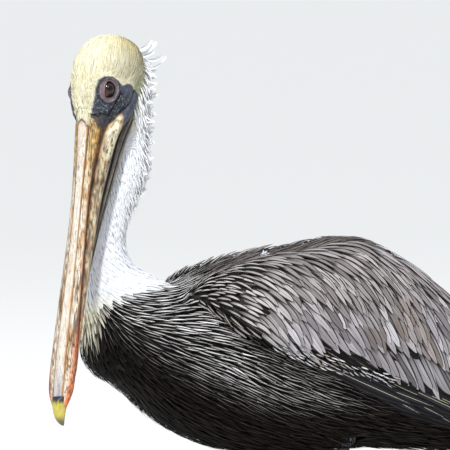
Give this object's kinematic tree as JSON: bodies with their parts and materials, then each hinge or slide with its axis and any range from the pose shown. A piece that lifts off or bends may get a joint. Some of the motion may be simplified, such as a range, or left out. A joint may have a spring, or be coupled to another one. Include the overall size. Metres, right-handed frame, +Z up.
{
  "type": "brown pelican",
  "caption": "Life-size brown pelican standing at rest on webbed feet, wings folded, neck drawn back, long hooked bill with its pouch pointing down past the breast.",
  "frame": {"origin": "on the floor, under the middle of the bird's bounding box", "axes": "+Z up, the body faces -Y, the bird's left side is +X"},
  "size_m": [0.2084, 0.6478, 0.5037],
  "materials": {
    "plumage_head": "cream-yellow short feathers, matte",
    "plumage_neck": "white downy feathers, matte",
    "plumage_body": "brown-black feathers with silvery shaft streaks, matte",
    "plumage_wing": "silver-grey covert feathers with dark shafts, soft sheen",
    "plumage_flight": "slate-brown flight and tail feathers, soft sheen",
    "bill_horn": "ivory horn with orange-yellow edges and grey specks, satin",
    "bill_nail": "olive-yellow horn with a dark root, satin",
    "pouch_skin": "dark grey-brown folded bare skin, matte",
    "eye": "amber-brown iris and black pupil under a clear, wet surface",
    "leg_skin": "dark slate scaly skin, satin",
    "claw": "black horn, satin"
  },
  "bodies": {
    "root": {"bill_lower": "bill_horn", "bill_nail": "bill_nail", "bill_upper": "bill_horn", "claw_hind_left": "claw", "claw_hind_right": "claw", "claw_inner_left": "claw", "claw_inner_right": "claw", "claw_middle_left": "claw", "claw_middle_right": "claw", "claw_outer_left": "claw", "claw_outer_right": "claw", "eye_left": "eye", "eye_right": "eye", "flight_left": "plumage_flight", "flight_right": "plumage_flight", "foot_left": "leg_skin", "foot_right": "leg_skin", "head": "plumage_head", "nape_crest": "plumage_neck", "neck_lower": "plumage_neck", "neck_upper": "plumage_neck", "pouch": "pouch_skin", "tail": "plumage_flight", "tarsus_left": "leg_skin", "tarsus_right": "leg_skin", "thigh_left": "plumage_body", "thigh_right": "plumage_body", "trunk": "plumage_body", "wing_left": "plumage_wing", "wing_right": "plumage_wing"}
  },
  "joints": []
}
